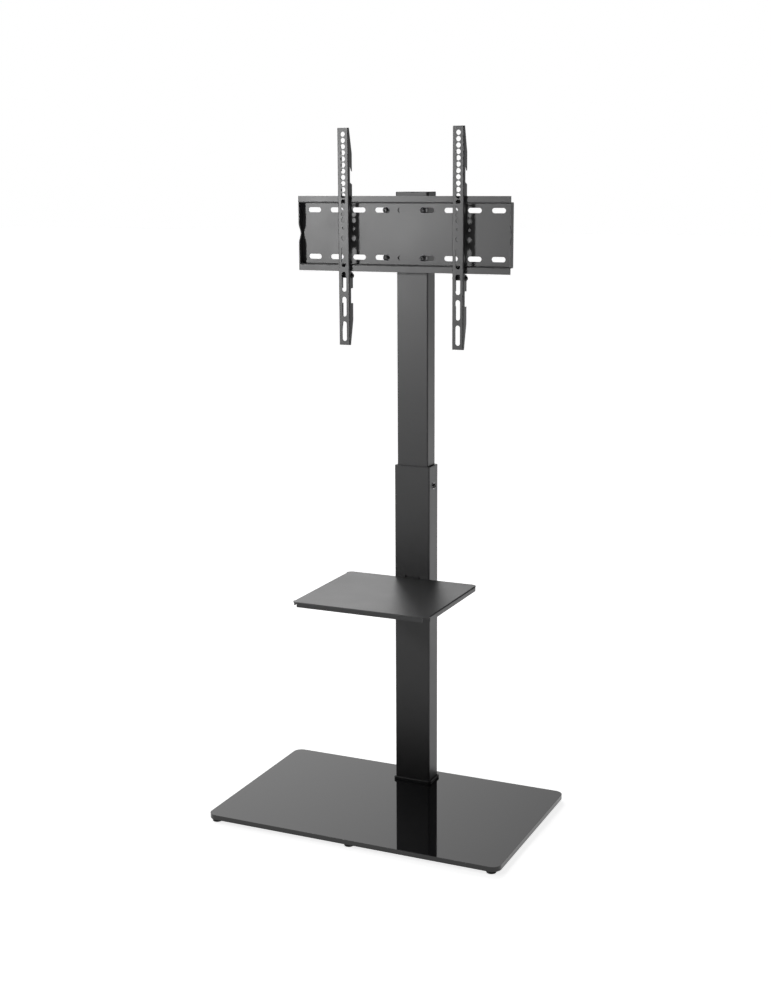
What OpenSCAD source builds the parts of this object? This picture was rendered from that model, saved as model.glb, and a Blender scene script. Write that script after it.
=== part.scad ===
// Floor stand for a flat screen: glass base, telescoping column, shelf, slotted plate and two arms.
// The origin is the middle of the base on the floor, +Z is up and the screen hangs on the -Y side.
// Modules are drawn round the column's axis, and at_column() carries them to their place.

/* [Base] */
// Width of the glass
base_w = 640; // [560:5:800]
// Depth of the glass
base_d = 405; // [380:5:480]
// Thickness of the glass
glass_t = 10; // [6:0.5:12]
// Corner radius of the glass in plan
base_corner_r = 19; // [8:1:24]
// Bevel along the edges of the glass
glass_bevel = 0.8; // [0.3:0.1:1.5]
// Diameter of a rubber foot
foot_d = 20; // [14:1:22]
// Distance from the side edges of the glass to a foot's centre
foot_inset_x = 18; // [14:1:30]
// Distance from its front and back edges to a foot's centre
foot_inset_y = 12; // [12:1:16]
// Bevel at the bottom of a foot
foot_bevel = 1.5; // [0.5:0.1:2.5]
// Thickness of the steel plate under the glass
under_plate_t = 2; // [1.5:0.1:4]
// Corner radius of that plate
under_corner_r = 6; // [2:0.5:12]
// How far that plate reaches past the bolt heads sideways
under_overhang_x = 32; // [5:1:60]
// How far that plate reaches past the bolt heads to the front and back
under_overhang_y = 6; // [2:1:12]
// Space between that plate and the foot behind it
under_foot_gap = 5.5; // [1:0.5:10]
// Thread diameter of a base bolt
base_bolt_d = 8; // [6:1:10]
// Head diameter of a base bolt
base_head_d = 16; // [13:1:18]
// Head height of a base bolt
base_head_h = 3.5; // [3:0.1:5]
// Space between the bolt heads and the floor
ground_gap = 0.5; // [0.3:0.1:3]
// Distance from the lower column's inner side walls to a base bolt's axis
base_bolt_edge_x = 12; // [8:0.5:16]
// Distance from its inner front and back walls to a base bolt's axis
base_bolt_edge_y = 10.5; // [7:0.5:12]
// Wall of a bush round a base bolt
bush_wall = 1.8; // [1:0.1:3]

/* [Column] */
// Outer width of the upper column
upper_w = 69; // [60:1:80]
// Outer depth of the upper column
upper_d = 39; // [34:1:50]
// Length of the upper column
upper_l = 778; // [700:1:900]
// Length of the upper column below the rim when it is lowest
insert_l = 220; // [200:1:260]
// Wall of both columns
tube_wall = 2; // [1.5:0.1:3]
// Inner corner radius of both columns
tube_inner_r = 1; // [0.5:0.1:2]
// Thickness of the guide sleeve at the sides
sleeve_side_t = 2.7; // [2:0.1:4]
// Thickness of the guide sleeve at the front and back
sleeve_front_t = 1.2; // [0.8:0.1:3]
// Length of the guide sleeve below the lock screw's axis
sleeve_below_lock = 19; // [10:1:60]
// Thickness of the guide sleeve's flange, which is the column's rim
rim_t = 2; // [1:0.1:4]
// Clearance between the sliding pieces
slide_gap = 0.3; // [0.2:0.05:0.5]
// Thickness of the plate in the foot of the lower column
foot_plate_t = 4; // [3:0.5:8]
// Height of the collar on the glass
collar_h = 7; // [4:0.5:15]
// How far the collar stands out from the column
collar_rim = 4; // [3:0.5:8]
// Bevel of the collar's top edge
collar_bevel = 1.5; // [0.5:0.1:2]
// Space between the glide and the shelf's hook when the upper column is lowest
glide_clear = 4; // [1:0.5:30]
// Height of the glide's shoe below the upper column
glide_shoe_h = 6; // [4:0.5:10]
// Height of the glide's plug in the upper column
glide_plug_h = 18; // [10:1:30]
// Thickness of the cap's top and skirt
cap_t = 2; // [1:0.1:3]
// Length of the cap's skirt
cap_skirt_l = 15; // [8:0.5:30]
// Space between the cap and the head bracket below it
cap_bracket_gap = 4.5; // [1:0.5:30]
// Bevel of the cap's top edge
cap_bevel = 0.7; // [0.3:0.1:0.9]

/* [Lock screw] */
// Distance of the lock screw below the rim
lock_drop = 43; // [20:1:45]
// Thread diameter of the lock screw
lock_d = 6; // [5:0.5:8]
// Head diameter of the lock screw
lock_head_d = 11; // [9:0.5:14]
// Head height of the lock screw
lock_head_h = 3.3; // [2.5:0.1:5]
// Flange diameter of the lock screw's nut
lock_flange_d = 13; // [12:0.5:16]
// Flange thickness of that nut
lock_flange_t = 0.8; // [0.5:0.1:1.5]
// Barrel wall of that nut
lock_barrel_wall = 1.5; // [1:0.1:1.8]

/* [Shelf] */
// Height of the shelf's top above the glass
shelf_rise = 457; // [350:1:600]
// Width of the shelf
shelf_w = 296; // [220:2:400]
// Depth of the shelf
shelf_d = 266; // [200:2:300]
// Thickness of the shelf's sheet
shelf_t = 2; // [1.5:0.1:3]
// Corner radius of the shelf in plan
shelf_corner_r = 12; // [4:1:20]
// Height of the shelf's folded lips
shelf_lip_h = 10; // [6:0.5:20]
// Distance from the shelf's rear edge to the end of its side lips
shelf_lip_back = 12; // [6:1:60]
// Outer radius of the shelf's folds
shelf_fold_r = 3; // [0.5:0.1:3.2]
// Height of the shelf's rear flange
shelf_flange_h = 35; // [28:1:60]
// Distance from the flange's lower edge to its screws
shelf_screw_edge = 13; // [9:1:15]
// Distance between the shelf's screws
shelf_screw_pitch = 48; // [30:1:54]
// Width of the shelf's hook
hook_w = 28; // [16:1:34]
// Height of the hook above the shelf
hook_h = 10; // [6:0.5:11]
// Space beside the hook in its window
hook_side_gap = 3; // [1:0.5:5]
// Height of the window for the hook
window_h = 7; // [5:0.5:9]

/* [Plate] */
// Width of the mount plate
plate_w = 460; // [420:5:520]
// Height of the mount plate
plate_h = 150; // [142:1:180]
// Depth of the mount plate's folded section
plate_depth = 17; // [14:0.5:24]
// Thickness of the mount plate's sheet
plate_t = 2; // [1.5:0.1:2.5]
// Height of the mount plate's lips
lip_h = 14; // [9:0.5:16]
// Inner radius of the mount plate's folds
fold_r = 1; // [0.5:0.1:1.5]
// Depth of the notch in the plate's end flanges
end_notch_d = 8.5; // [4:0.5:11]
// Height of that notch
end_notch_h = 42; // [20:1:60]
// Distance between the plate's slots
slot_pitch = 50; // [45:1:56]
// Length of a slot
slot_l = 29; // [24:1:34]
// Width of a slot
slot_w = 10; // [8:0.5:11]
// Least sheet between the last slot and the plate's end
slot_end_land = 8; // [5:1:15]
// Distance between the two rows of slots
slot_row_pitch = 94; // [80:1:100]
// Thread diameter of a plate bolt, and of a shelf screw
plate_bolt_d = 6; // [5:0.5:6]
// Distance from a slot's inner end to its bolt's axis
plate_bolt_end = 4.5; // [4:0.5:8]
// Head diameter of a plate bolt, and of a shelf screw
plate_head_d = 11.5; // [9.5:0.5:12]
// Head height of a plate bolt, and of a shelf screw
plate_head_h = 3.3; // [2.5:0.1:4]
// Washer diameter
washer_d = 14; // [12:0.5:15]
// Washer thickness
washer_t = 1.6; // [1:0.1:2]
// Width across the flats of a nut
nut_flats = 10; // [9:0.5:10]
// Thickness of a nut
nut_t = 5; // [4:0.5:6]
// Distance from the column's front to the head bracket's plate
bracket_reach = 33.5; // [20:0.5:60]
// Thickness of the head bracket
bracket_t = 3; // [2:0.5:5]
// Space between the head bracket's cheeks and the nuts beside them
bracket_nut_gap = 3.3; // [1:0.1:10]
// Edge of the head bracket past its bolts sideways
bracket_edge_x = 6; // [5:0.5:20]
// Edge of the head bracket past its bolts up and down
bracket_edge_z = 14; // [6:1:15]

/* [Arms] */
// Distance from the middle to an arm's centre
arm_x = 124; // [20:1:218]
// Length of an arm
arm_l = 432; // [420:1:460]
// Height of an arm's top above the plate's middle
arm_rise = 208; // [200:1:220]
// Width of an arm
arm_w = 24; // [20:0.5:30]
// Depth of an arm
arm_d = 17; // [15.5:0.5:20]
// Thickness of an arm's sheet
arm_t = 2; // [1.5:0.1:2.5]
// Outer radius of an arm's folds
arm_fold_r = 2; // [1:0.1:2.5]
// Depth of an arm in its two notches
arm_neck_d = 8; // [6:0.5:11]
// Depth of an arm at its ends
arm_end_d = 5; // [4:0.5:11]
// Length of the taper at each end
arm_taper_l = 50; // [20:1:50]
// Distance from the top lip's slot to the upper notch
upper_notch_gap = 26; // [5:0.5:50]
// Distance from the lower lip's slot to the lower notch
lower_notch_gap = 28.5; // [5:0.5:50]
// Length of a notch's floor
notch_l = 30; // [15:1:35]
// Length of the slope below the upper notch
notch_slope = 4; // [1:0.5:8]
// Length of the barb that points down into the upper notch
barb_l = 8; // [2:0.5:12]
// Depth of that barb at its root
barb_root_d = 4.5; // [2:0.5:5.5]
// Distance from an arm's front to the plate's lips
arm_standoff = 8; // [7:0.5:11]
// Clearance of an arm's hooks on either side of a lip
hook_gap = 0.4; // [0.2:0.05:0.6]
// Clearance between an arm and the top edge of the plate's lip
seat_gap = 0.3; // [0.1:0.05:0.5]
// Clearance between the upper hook's tooth and the plate
tooth_gap = 1; // [0.5:0.1:2]
// Distance from the lower lip to the finger behind it
finger_drop = 2.5; // [2:0.1:4]
// Depth of the lower slot below the lower lip
slot_drop = 6; // [5.5:0.1:7.5]
// Diameter of an arm's round holes, and width of its long slots
arm_hole_d = 10; // [6:0.5:11]
// Number of holes in the row at an arm's top
arm_holes = 15; // [4:1:15]
// Sheet between the holes of the row
arm_hole_land = 2; // [1:0.1:3]
// Sheet between an arm's ends and its nearest holes
arm_end_land = 7.5; // [3:0.5:12]
// Diameter of the small hole below the row
arm_small_d = 6; // [3:0.5:10]
// Sheet between the row and the small hole
arm_small_land = 8.5; // [2:0.5:12]
// Sheet between the small hole and the single hole below it
arm_single_land = 11; // [2:0.5:14]
// Sheet between the single hole and the first long slot
arm_slot_first_land = 13; // [2:0.5:16]
// Sheet between the long slots
arm_slot_land = 10; // [4:0.5:20]
// Length of a long slot
arm_slot_l = 40; // [20:1:60]
// Thread diameter of a safety screw
safety_d = 5; // [4:0.5:5]
// Head diameter of a safety screw
safety_head_d = 10; // [8:0.5:10]
// Head height of a safety screw
safety_head_h = 3.8; // [3:0.1:6]
// Sheet between the lower lip's slot and a safety screw
safety_land = 0.8; // [0.8:0.1:4]
// Distance from an arm's rear edge to a safety screw's axis
safety_edge = 4.5; // [4:0.1:6]
// Width across the flats of a safety screw's nut
safety_nut_flats = 8; // [7:0.5:9]
// Thickness of that nut
safety_nut_t = 3.2; // [2.5:0.1:5]
// Depth of the stop block on a safety screw
stop_d = 8; // [7:0.5:8.5]
// Height of the stop block below a safety screw's axis
stop_below = 4; // [3.5:0.5:8]
// Space between the stop block and the plate's lower lip
stop_gap = 1; // [0.3:0.1:2]

/* [Hidden] */
$fn = 48;

// Clearances, and how far cuts run past their faces and threads past their nuts
thread_gap = 0.05;
hole_gap = 0.3;
cut_past = 1;
thread_past = 1.5;

// Shapes of a button head, as shares of its height and of the thread's diameter
head_rim_share = 0.2;
socket_depth_share = 0.6;
socket_width_share = 0.65;
dome_angle = 65;
dome_steps = 6;

// Colours
steel_colour = [0.17, 0.17, 0.18];
screw_colour = [0.10, 0.10, 0.11];
plastic_colour = [0.06, 0.06, 0.06];
rubber_colour = [0.04, 0.04, 0.04];
glass_colour = [0.03, 0.03, 0.04];
zinc_colour = [0.55, 0.55, 0.57];

// The lower column, round the sleeve and the upper column
lower_inner_w = upper_w + 2 * (slide_gap + sleeve_side_t);
lower_inner_d = upper_d + 2 * (slide_gap + sleeve_front_t);
lower_w = lower_inner_w + 2 * tube_wall;
lower_d = lower_inner_d + 2 * tube_wall;
lower_h = shelf_rise + hook_h + glide_clear + glide_shoe_h + insert_l - rim_t;
sleeve_l = lock_drop + sleeve_below_lock - rim_t;
tube_corner_r = tube_inner_r + tube_wall;
sleeve_corner_r = tube_inner_r + hole_gap;

// The plate's slots, and its bolts at the inner ends of the two slots beside the middle one
side_slots = floor((plate_w / 2 - slot_l / 2 - slot_end_land) / slot_pitch);
plate_bolt_x = slot_pitch - slot_l / 2 + plate_bolt_end;
plate_bolt_z = slot_row_pitch / 2;
bracket_w = 2 * (plate_bolt_x + bracket_edge_x);
bracket_h = 2 * (plate_bolt_z + bracket_edge_z);

// Heights
foot_h = under_plate_t + base_head_h + ground_gap;
glass_top = foot_h + glass_t;
rim_z = glass_top + lower_h + rim_t;
upper_bottom = rim_z - insert_l;
upper_top = upper_bottom + upper_l;
shelf_top = glass_top + shelf_rise;
plate_z = upper_top - cap_skirt_l - cap_bracket_gap - bracket_h / 2;

// The base bolts, and the column's place on the glass
base_bolt_x = lower_inner_w / 2 - base_bolt_edge_x;
base_bolt_y = lower_inner_d / 2 - base_bolt_edge_y;
under_plate_w = 2 * (base_bolt_x + under_overhang_x) + base_head_d;
under_plate_d = 2 * (base_bolt_y + under_overhang_y) + base_head_d;
column_setback = foot_inset_y + foot_d / 2 + under_foot_gap + under_plate_d / 2;
column_y = base_d / 2 - column_setback;

// Front planes, from the column forwards
shelf_front_y = -lower_d / 2;
bracket_front_y = -(upper_d / 2 + bracket_reach + bracket_t);
plate_front_y = bracket_front_y - plate_depth;
arm_front_y = plate_front_y - arm_standoff;
plate_face_y = bracket_front_y - plate_t;

// An arm's holes, as distances below its top, and its safety screw below the plate's middle
arm_row_s = arm_end_land + arm_hole_d / 2;
arm_hole_pitch = arm_hole_d + arm_hole_land;
arm_small_s = arm_row_s + (arm_holes - 1) * arm_hole_pitch + (arm_hole_d + arm_small_d) / 2 + arm_small_land;
arm_single_s = arm_small_s + (arm_small_d + arm_hole_d) / 2 + arm_single_land;
arm_slot_s = arm_single_s + arm_hole_d / 2 + arm_slot_first_land + arm_slot_l / 2;
arm_slot_pitch = arm_slot_l + arm_slot_land;
arm_slots = floor((arm_l - arm_end_land - arm_slot_l / 2 - arm_slot_s) / arm_slot_pitch) + 1;
safety_z = -plate_h / 2 - slot_drop - safety_land - safety_d / 2;

// Plane shapes

module rounded_rect(w, d, r) {
    square([w - 2 * r, d], center = true);
    square([w, d - 2 * r], center = true);
    for (x = [-1, 1])
        for (y = [-1, 1])
            translate([x * (w / 2 - r), y * (d / 2 - r)])
                circle(r);
}

module slot_shape(l, w) {
    square([l - w, w], center = true);
    for (x = [-1, 1])
        translate([x * (l - w) / 2, 0])
            circle(w / 2);
}

module quarter_ring(r_in, t) {
    intersection() {
        difference() {
            circle(r_in + t);
            circle(r_in);
        }
        square(r_in + t);
    }
}

// Solid shapes

module at_column() {
    translate([0, column_y, 0])
        children();
}

// Runs a plane shape drawn in depth and height along the width, about the middle
module along_x(l) {
    rotate([90, 0, 90])
        linear_extrude(l, center = true)
            children();
}

// Runs a plane shape drawn in width and height along the depth, about the middle
module along_y(l) {
    rotate([90, 0, 0])
        linear_extrude(l, center = true)
            children();
}

module four_corners(x, z) {
    for (i = [-1, 1])
        for (k = [-1, 1])
            translate([i * x, 0, k * z])
                children();
}

// A slab with round corners in plan and bevels along its lower and upper edges
module bevelled_slab(w, d, h, r, low, high) {
    for (x = [-1, 1])
        for (y = [-1, 1])
            translate([x * (w / 2 - r), y * (d / 2 - r), 0])
                bevelled_disc(r, h, low, high);
    along_x(w - 2 * r)
        polygon(bevelled_profile(d, h, low, high));
    rotate([0, 0, 90])
        along_x(d - 2 * r)
            polygon(bevelled_profile(w, h, low, high));
}

function bevelled_profile(w, h, low, high) = [
    [-w / 2 + low, 0], [w / 2 - low, 0], [w / 2, low], [w / 2, h - high],
    [w / 2 - high, h], [-w / 2 + high, h], [-w / 2, h - high], [-w / 2, low]
];

module bevelled_disc(r, h, low, high) {
    rotate_extrude()
        polygon([[0, 0], [r - low, 0], [r, low], [r, h - high], [r - high, h], [0, h]]);
}

module tube(w, d, h) {
    linear_extrude(h)
        difference() {
            rounded_rect(w, d, tube_corner_r);
            rounded_rect(w - 2 * tube_wall, d - 2 * tube_wall, tube_inner_r);
        }
}

// A hexagon with the given width across its flats, two of which face sideways
module hexagon(flats) {
    rotate(30)
        circle(r = flats / 2 / cos(30), $fn = 6);
}

// A button head screw along +Z: the head stands on z = 0 and the thread runs down from it
module button_screw(d, head_d, head_h, thread_l) {
    head_r = head_d / 2;
    rim_h = head_h * head_rim_share;
    dome = [
        for (i = [0:dome_steps])
            let (a = dome_angle * i / dome_steps)
                [head_r * cos(a), rim_h + (head_h - rim_h) * sin(a) / sin(dome_angle)]
    ];
    difference() {
        rotate_extrude()
            polygon(concat([[0, 0], [head_r, 0]], dome, [[0, head_h]]));
        translate([0, 0, head_h * (1 - socket_depth_share)])
            linear_extrude(head_h)
                hexagon(d * socket_width_share);
    }
    translate([0, 0, -thread_l])
        cylinder(h = thread_l + cut_past / 2, d = d);
}

module nut(flats, t, d) {
    linear_extrude(t)
        difference() {
            hexagon(flats);
            circle(d / 2 + thread_gap);
        }
}

// Base

module base_glass() {
    color(glass_colour)
        translate([0, 0, foot_h])
            difference() {
                bevelled_slab(base_w, base_d, glass_t, base_corner_r, glass_bevel, glass_bevel);
                at_column()
                    base_bolt_places()
                        translate([0, 0, -cut_past])
                            cylinder(h = glass_t + 2 * cut_past, d = bush_outer_d() + 2 * thread_gap);
            }
}

function bush_outer_d() = base_bolt_d + 2 * (hole_gap + bush_wall);

module base_bolt_places() {
    for (x = [-1, 1])
        for (y = [-1, 1])
            translate([x * base_bolt_x, y * base_bolt_y, 0])
                children();
}

// A rubber foot, at -1, 0 or 1 of the way across and at -1 or 1 of the way back
module foot(across, back) {
    color(rubber_colour)
        translate([across * (base_w / 2 - foot_inset_x), back * (base_d / 2 - foot_inset_y), 0])
            bevelled_disc(foot_d / 2, foot_h, foot_bevel, 0);
}

module under_plate() {
    color(steel_colour)
        at_column()
            translate([0, 0, foot_h - under_plate_t])
                linear_extrude(under_plate_t)
                    difference() {
                        rounded_rect(under_plate_w, under_plate_d, under_corner_r);
                        base_bolt_places()
                            circle(base_bolt_d / 2 + hole_gap);
                    }
}

module base_bolts() {
    grip = under_plate_t + glass_t + foot_plate_t + thread_past;
    color(screw_colour)
        at_column()
            base_bolt_places()
                translate([0, 0, foot_h - under_plate_t])
                    mirror([0, 0, 1])
                        button_screw(base_bolt_d, base_head_d, base_head_h, grip);
}

module glass_bushes() {
    color(plastic_colour)
        at_column()
            base_bolt_places()
                translate([0, 0, foot_h])
                    linear_extrude(glass_t)
                        difference() {
                            circle(bush_outer_d() / 2);
                            circle(base_bolt_d / 2 + hole_gap);
                        }
}

module base_collar() {
    color(plastic_colour)
        at_column()
            translate([0, 0, glass_top])
                difference() {
                    bevelled_slab(lower_w + 2 * collar_rim, lower_d + 2 * collar_rim, collar_h,
                        tube_corner_r + collar_rim, 0, collar_bevel);
                    translate([0, 0, -cut_past])
                        linear_extrude(collar_h + 2 * cut_past)
                            rounded_rect(lower_w + 2 * hole_gap, lower_d + 2 * hole_gap,
                                tube_corner_r + hole_gap);
                }
}

// Column

module column_foot_plate() {
    color(steel_colour)
        at_column()
            translate([0, 0, glass_top])
                linear_extrude(foot_plate_t)
                    difference() {
                        rounded_rect(lower_inner_w, lower_inner_d, sleeve_corner_r);
                        base_bolt_places()
                            circle(base_bolt_d / 2 + thread_gap);
                    }
}

module lower_column() {
    color(steel_colour)
        at_column()
            difference() {
                translate([0, 0, glass_top])
                    tube(lower_w, lower_d, lower_h);
                lock_hole(lock_barrel_d() / 2 + thread_gap);
                shelf_screw_places()
                    along_y(4 * tube_wall)
                        circle(plate_bolt_d / 2 + hole_gap);
                translate([0, shelf_front_y, shelf_top - shelf_t - hole_gap + window_h / 2])
                    cube([hook_w + 2 * hook_side_gap, 4 * tube_wall, window_h], center = true);
            }
}

function lock_barrel_d() = lock_d + 2 * (thread_gap + lock_barrel_wall);

// The hole of the lock screw, through the right-hand wall only
module lock_hole(r) {
    translate([upper_w / 2, 0, rim_z - lock_drop])
        rotate([0, 90, 0])
            cylinder(h = lower_w, r = r);
}

module glide_sleeve() {
    color(plastic_colour)
        at_column()
            difference() {
                union() {
                    translate([0, 0, rim_z - rim_t - sleeve_l])
                        linear_extrude(sleeve_l)
                            rounded_rect(lower_inner_w, lower_inner_d, sleeve_corner_r);
                    translate([0, 0, rim_z - rim_t])
                        linear_extrude(rim_t)
                            rounded_rect(lower_w, lower_d, tube_corner_r);
                }
                translate([0, 0, rim_z - rim_t - sleeve_l - cut_past])
                    linear_extrude(sleeve_l + rim_t + 2 * cut_past)
                        rounded_rect(upper_w + 2 * slide_gap, upper_d + 2 * slide_gap,
                            tube_corner_r + slide_gap);
                lock_hole(lock_barrel_d() / 2 + hole_gap);
            }
}

// The lock screw's tip stops one clearance short of the upper column
module lock_screw() {
    thread_l = lower_w / 2 + lock_flange_t - upper_w / 2 - slide_gap;
    color(screw_colour)
        at_column()
            translate([lower_w / 2 + lock_flange_t, 0, rim_z - lock_drop])
                rotate([0, 90, 0])
                    button_screw(lock_d, lock_head_d, lock_head_h, thread_l);
}

// A riveted nut: its flange lies on the column's wall and its barrel runs through it
module lock_nut() {
    barrel_l = tube_wall + sleeve_side_t - hole_gap;
    color(zinc_colour)
        at_column()
            translate([lower_w / 2, 0, rim_z - lock_drop])
                rotate([0, 90, 0])
                    difference() {
                        union() {
                            cylinder(h = lock_flange_t, d = lock_flange_d);
                            translate([0, 0, -barrel_l])
                                cylinder(h = barrel_l, d = lock_barrel_d());
                        }
                        translate([0, 0, -barrel_l - cut_past])
                            cylinder(h = barrel_l + lock_flange_t + 2 * cut_past,
                                r = lock_d / 2 + thread_gap);
                    }
}

module upper_column() {
    color(steel_colour)
        at_column()
            translate([0, 0, upper_bottom])
                tube(upper_w, upper_d, upper_l);
}

// A shoe that guides the upper column's lower end, and a plug that holds it in the column
module column_glide() {
    color(plastic_colour)
        at_column() {
            translate([0, 0, upper_bottom - glide_shoe_h])
                linear_extrude(glide_shoe_h)
                    rounded_rect(lower_inner_w - 2 * slide_gap, lower_inner_d - 2 * slide_gap,
                        tube_corner_r);
            translate([0, 0, upper_bottom - cut_past])
                linear_extrude(glide_plug_h + cut_past)
                    rounded_rect(upper_w - 2 * tube_wall, upper_d - 2 * tube_wall, sleeve_corner_r);
        }
}

module column_cap() {
    skirt_z = upper_top - cap_skirt_l;
    color(plastic_colour)
        at_column()
            difference() {
                translate([0, 0, skirt_z])
                    bevelled_slab(upper_w + 2 * cap_t, upper_d + 2 * cap_t, cap_skirt_l + cap_t,
                        tube_corner_r + cap_t, 0, cap_bevel);
                translate([0, 0, skirt_z - cut_past])
                    linear_extrude(cap_skirt_l + cut_past)
                        rounded_rect(upper_w + 2 * thread_gap, upper_d + 2 * thread_gap,
                            tube_corner_r + thread_gap);
            }
}

// Shelf

module shelf_screw_places() {
    for (x = [-1, 1])
        translate([x * shelf_screw_pitch / 2, shelf_front_y, shelf_top - shelf_flange_h + shelf_screw_edge])
            children();
}

// Rounds an outer fold that runs along X through the origin, with the sheet behind and below it
module fold_cut(l) {
    along_x(l)
        difference() {
            translate([-cut_past, -shelf_fold_r])
                square(shelf_fold_r + cut_past);
            translate([shelf_fold_r, -shelf_fold_r])
                circle(shelf_fold_r);
        }
}

// Fills the inner side of the same fold, so that the sheet keeps its thickness round it
module fold_fill(l) {
    inner_r = shelf_fold_r - shelf_t;
    if (inner_r > 0)
        along_x(l)
            difference() {
                translate([shelf_t - cut_past, -shelf_t - inner_r])
                    square(inner_r + cut_past);
                translate([shelf_t + inner_r, -shelf_t - inner_r])
                    circle(inner_r);
            }
}

module shelf() {
    front_lip_w = shelf_w - 2 * shelf_corner_r;
    lip_back = max(shelf_lip_back, shelf_corner_r);
    side_lip_l = shelf_d - shelf_corner_r - lip_back;
    side_lip_y = -lip_back - side_lip_l / 2;
    color(steel_colour)
        at_column()
            translate([0, shelf_front_y, shelf_top])
                difference() {
                    union() {
                        translate([0, -shelf_d / 2, -shelf_t])
                            linear_extrude(shelf_t)
                                rounded_rect(shelf_w, shelf_d, shelf_corner_r);
                        translate([-front_lip_w / 2, -shelf_d, -shelf_lip_h])
                            cube([front_lip_w, shelf_t, shelf_lip_h]);
                        translate([0, -shelf_d, 0])
                            fold_fill(front_lip_w);
                        for (x = [-1, 1]) {
                            translate([x * (shelf_w - shelf_t) / 2, side_lip_y, -shelf_lip_h / 2])
                                cube([shelf_t, side_lip_l, shelf_lip_h], center = true);
                            translate([x * shelf_w / 2, side_lip_y, 0])
                                rotate([0, 0, x * 90])
                                    fold_fill(side_lip_l);
                        }
                        shelf_flange();
                        shelf_hook();
                    }
                    translate([0, -shelf_d, 0])
                        fold_cut(front_lip_w);
                    for (x = [-1, 1])
                        translate([x * shelf_w / 2, side_lip_y, 0])
                            rotate([0, 0, x * 90])
                                fold_cut(side_lip_l);
                }
}

// The flange lies on the column's front, under the shelf
module shelf_flange() {
    translate([0, -shelf_t / 2, 0])
        along_y(shelf_t)
            difference() {
                translate([-lower_w / 2, -shelf_flange_h])
                    square([lower_w, shelf_flange_h]);
                for (x = [-1, 1])
                    translate([x * shelf_screw_pitch / 2, -shelf_flange_h + shelf_screw_edge])
                        circle(plate_bolt_d / 2 + hole_gap);
            }
}

// The hook runs through the column's window and turns up behind its wall
module shelf_hook() {
    reach = tube_wall + 2 * hole_gap + shelf_t;
    along_x(hook_w)
        translate([-cut_past, 0]) {
            translate([0, -shelf_t])
                square([reach + cut_past, shelf_t]);
            translate([reach + cut_past - shelf_t, -shelf_t])
                square([shelf_t, shelf_t + hook_h]);
        }
}

module shelf_screws() {
    grip = shelf_t + tube_wall + nut_t + thread_past;
    color(screw_colour)
        at_column()
            shelf_screw_places()
                translate([0, -shelf_t, 0])
                    rotate([90, 0, 0])
                        button_screw(plate_bolt_d, plate_head_d, plate_head_h, grip);
}

module shelf_nuts() {
    color(zinc_colour)
        at_column()
            shelf_screw_places()
                translate([0, tube_wall + nut_t, 0])
                    rotate([90, 0, 0])
                        nut(nut_flats, nut_t, plate_bolt_d);
}

// Head

// A plate in front of the column, on two cheeks that end on the column's front
module head_bracket() {
    cheek_x = plate_bolt_x - nut_flats / 2 / cos(30) - bracket_nut_gap - bracket_t / 2;
    color(steel_colour)
        at_column()
            translate([0, 0, plate_z]) {
                translate([0, bracket_front_y + bracket_t / 2, 0])
                    along_y(bracket_t)
                        difference() {
                            square([bracket_w, bracket_h], center = true);
                            for (x = [-1, 1])
                                for (z = [-1, 1])
                                    translate([x * plate_bolt_x, z * plate_bolt_z])
                                        circle(plate_bolt_d / 2 + hole_gap);
                        }
                for (x = [-1, 1])
                    translate([x * cheek_x, -upper_d / 2 - bracket_reach / 2, 0])
                        cube([bracket_t, bracket_reach, bracket_h], center = true);
            }
}

// Half of the plate's folded section, in depth from the lips' front and height above the middle
module hat_half() {
    web_z = plate_h / 2 - lip_h;
    bend = fold_r + plate_t;
    translate([0, web_z + bend])
        square([plate_t, lip_h - bend]);
    translate([bend, web_z + bend])
        rotate(180)
            quarter_ring(fold_r, plate_t);
    translate([bend, web_z])
        square([plate_depth - 2 * bend, plate_t]);
    translate([plate_depth - bend, web_z + plate_t - bend])
        quarter_ring(fold_r, plate_t);
    translate([plate_depth - plate_t, 0])
        square([plate_t, web_z + plate_t - bend]);
}

// An end flange closes the folded section, with a smooth notch in its front edge
module end_flange() {
    steps = 16;
    half = plate_h / 2 - lip_h;
    notch = [
        for (i = [0:steps])
            [end_notch_d * (1 - cos(360 * i / steps)) / 2, end_notch_h * (0.5 - i / steps)]
    ];
    along_x(plate_t)
        difference() {
            translate([0, -half])
                square([plate_depth - plate_t, 2 * half]);
            polygon(concat([[-cut_past, end_notch_h / 2]], notch, [[-cut_past, -end_notch_h / 2]]));
        }
}

module mount_plate() {
    color(steel_colour)
        at_column()
            translate([0, plate_front_y, plate_z])
                difference() {
                    union() {
                        along_x(plate_w) {
                            hat_half();
                            mirror([0, 1])
                                hat_half();
                        }
                        for (x = [-1, 1])
                            translate([x * (plate_w - plate_t) / 2, 0, 0])
                                end_flange();
                    }
                    for (i = [-side_slots:side_slots])
                        for (z = [-1, 1])
                            translate([i * slot_pitch, plate_depth, z * slot_row_pitch / 2])
                                along_y(4 * plate_t)
                                    slot_shape(slot_l, slot_w);
                }
}

module plate_bolts() {
    grip = washer_t + plate_t + bracket_t + nut_t + thread_past;
    color(screw_colour)
        at_column()
            translate([0, plate_face_y - washer_t, plate_z])
                four_corners(plate_bolt_x, plate_bolt_z)
                    rotate([90, 0, 0])
                        button_screw(plate_bolt_d, plate_head_d, plate_head_h, grip);
}

module plate_washers() {
    color(screw_colour)
        at_column()
            translate([0, plate_face_y - washer_t / 2, plate_z])
                four_corners(plate_bolt_x, plate_bolt_z)
                    along_y(washer_t)
                        difference() {
                            circle(washer_d / 2);
                            circle(plate_bolt_d / 2 + hole_gap);
                        }
}

module plate_nuts() {
    color(zinc_colour)
        at_column()
            translate([0, bracket_front_y + bracket_t + nut_t, plate_z])
                four_corners(plate_bolt_x, plate_bolt_z)
                    rotate([90, 0, 0])
                        nut(nut_flats, nut_t, plate_bolt_d);
}

// Arms

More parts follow.
